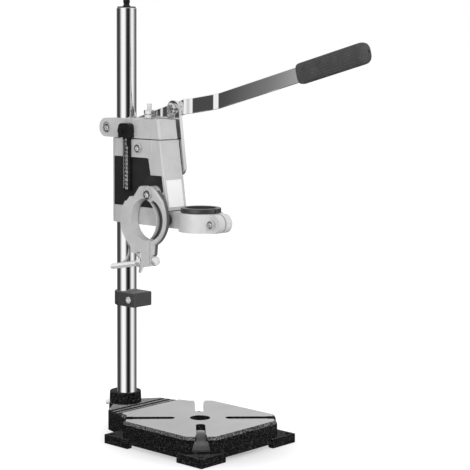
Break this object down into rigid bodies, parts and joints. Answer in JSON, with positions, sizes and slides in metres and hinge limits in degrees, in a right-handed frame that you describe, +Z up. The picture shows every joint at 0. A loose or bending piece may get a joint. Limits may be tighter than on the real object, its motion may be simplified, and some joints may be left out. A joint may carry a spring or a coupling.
{
  "type": "drill stand",
  "caption": "Bench stand for a hand-held drill: cast base with cross slots, round column, lever-fed sliding head with a neck collar and a hinged side clamp",
  "frame": {"origin": "on the bench under the middle of the column's socket", "axes": "+Z up along the column; the table, the collar and the lever are on the -Y side; the lever and its link are on the +X side of the head, the side clamp and the depth scale on the -X side"},
  "size_m": [0.1658, 0.3918, 0.5442],
  "materials": {
    "cast_grey": "light grey painted or bare die casting, satin",
    "cast_black": "black textured coating; the table's top is machined bare",
    "chrome_steel": "bright chrome plate",
    "zinc_steel": "zinc plated",
    "black_plastic": "black moulded plastic",
    "black_steel": "blackened steel",
    "grip_rubber": "black ribbed rubber",
    "label_white": "bare white label plate"
  },
  "bodies": {
    "base": {"base_casting": "cast_black", "column_set_screw": "zinc_steel"},
    "column": {"column_tube": "chrome_steel", "column_cap": "black_plastic"},
    "head": {"top_bracket": "cast_grey", "bracket_clamp_bolt": "zinc_steel", "bracket_clamp_nut": "zinc_steel", "guide_rod": "zinc_steel", "guide_rod_nut_upper": "zinc_steel", "guide_rod_nut_lock": "zinc_steel", "guide_rod_nut_lower": "zinc_steel", "guide_rod_washer": "zinc_steel", "fulcrum_pin": "zinc_steel", "depth_scale": "black_plastic", "scale_holder": "black_plastic"},
    "carriage": {"carriage_casting": "cast_grey", "return_spring": "zinc_steel", "left_side_cover": "black_plastic", "right_side_cover": "black_plastic", "cover_rivet_left_front": "zinc_steel", "cover_rivet_left_rear": "zinc_steel", "cover_rivet_right_front": "zinc_steel", "cover_rivet_right_rear": "zinc_steel", "guide_screw": "zinc_steel", "label_plate": "label_white", "feed_link": "chrome_steel", "link_screw": "zinc_steel", "link_pin": "zinc_steel", "link_pin_nut": "zinc_steel", "side_ring": "cast_grey", "jaw_hinge_bolt": "zinc_steel", "side_ring_screw": "zinc_steel", "collar_arm_stud": "zinc_steel", "tool_collar": "cast_grey", "collar_arm_screw": "black_steel", "collar_screw": "zinc_steel", "collar_nut": "zinc_steel", "reducer_ring": "black_plastic"},
    "lever": {"lever_bar": "chrome_steel", "lever_grip": "grip_rubber"},
    "jaw": {"side_jaw": "cast_grey", "closing_stud": "zinc_steel"},
    "wing": {"wing_nut": "zinc_steel"},
    "stop": {"stop_block": "cast_black", "stop_screw": "zinc_steel"}
  },
  "joints": [
    {"name": "column_swivel", "type": "hinge", "parent": "base", "child": "column", "pos_m": [0, 0, 0.2], "axis": [0, 0, 1], "range_deg": [-90, 90]},
    {"name": "head_height", "type": "slide", "parent": "column", "child": "head", "axis": [0, 0, 1], "range_m": [-0.012, 0.11]},
    {"name": "carriage_slide", "type": "slide", "parent": "head", "child": "carriage", "axis": [0, 0, -1], "range_m": [0, 0.06], "stiffness_N_per_m": 600, "springref_m": -0.05, "deforming": ["return_spring"]},
    {"name": "lever_swing", "type": "hinge", "parent": "head", "child": "lever", "pos_m": [0.0252, 0.004, 0.3862], "axis": [1, 0, 0], "range_deg": [0, 47]},
    {"name": "jaw_hinge", "type": "hinge", "parent": "carriage", "child": "jaw", "pos_m": [-0.02515, -0.0713, 0.3044], "axis": [-1, 0, 0], "range_deg": [0, 11]},
    {"name": "wing_slide", "type": "slide", "parent": "jaw", "child": "wing", "axis": [0, 0.9829, -0.184], "range_m": [0, 0.0185]},
    {"name": "stop_height", "type": "slide", "parent": "column", "child": "stop", "axis": [0, 0, 1], "range_m": [-0.1, 0.012]}
  ],
  "couplings": [
    {"joint": "lever_swing", "follows": "carriage_slide", "rad_per_m": 13.6},
    {"joint": "wing_slide", "follows": "jaw_hinge", "m_per_rad": 0.095}
  ]
}
